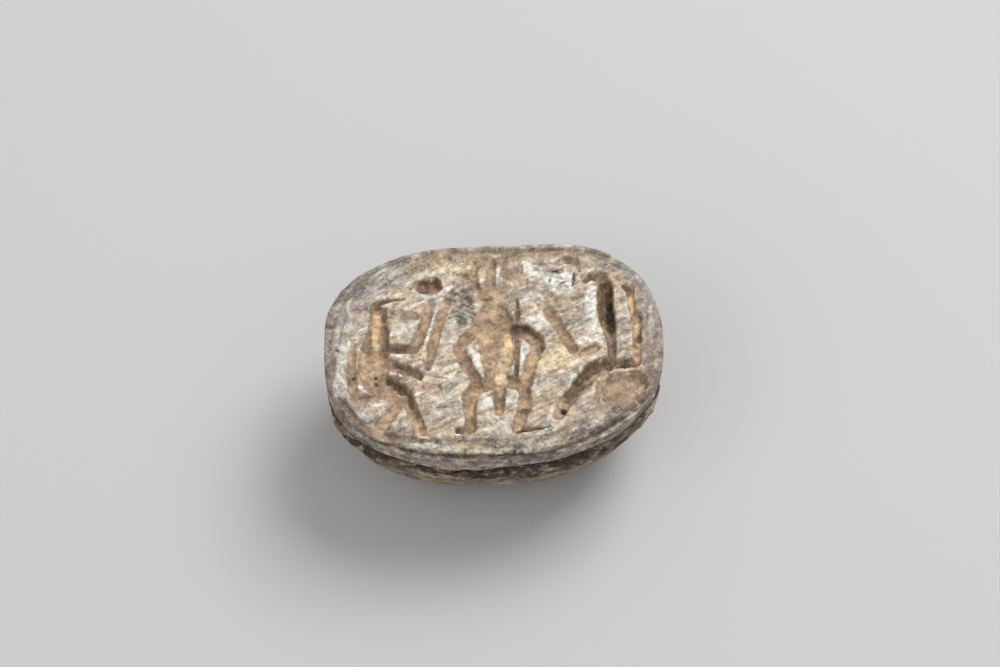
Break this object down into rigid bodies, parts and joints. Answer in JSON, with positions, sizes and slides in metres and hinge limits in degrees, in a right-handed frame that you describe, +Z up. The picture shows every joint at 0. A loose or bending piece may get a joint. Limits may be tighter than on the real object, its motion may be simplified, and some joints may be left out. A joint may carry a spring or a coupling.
{
  "type": "scarab seal",
  "caption": "Small oval stone seal carved as a beetle, lying on its back with a flat face of sunk figures up, pierced lengthwise for a string.",
  "frame": {"origin": "on the surface the seal lies on, under the middle of its bounding box", "axes": "+X along the beetle from head to tail, +Y across it, +Z up, out of the engraved face"},
  "size_m": [0.018, 0.0132, 0.0076],
  "materials": {
    "worn_steatite": "worn, pitted steatite, cream and grey with brown in the cut strokes"
  },
  "bodies": {
    "root": {"scarab_seal": "worn_steatite"}
  },
  "joints": []
}
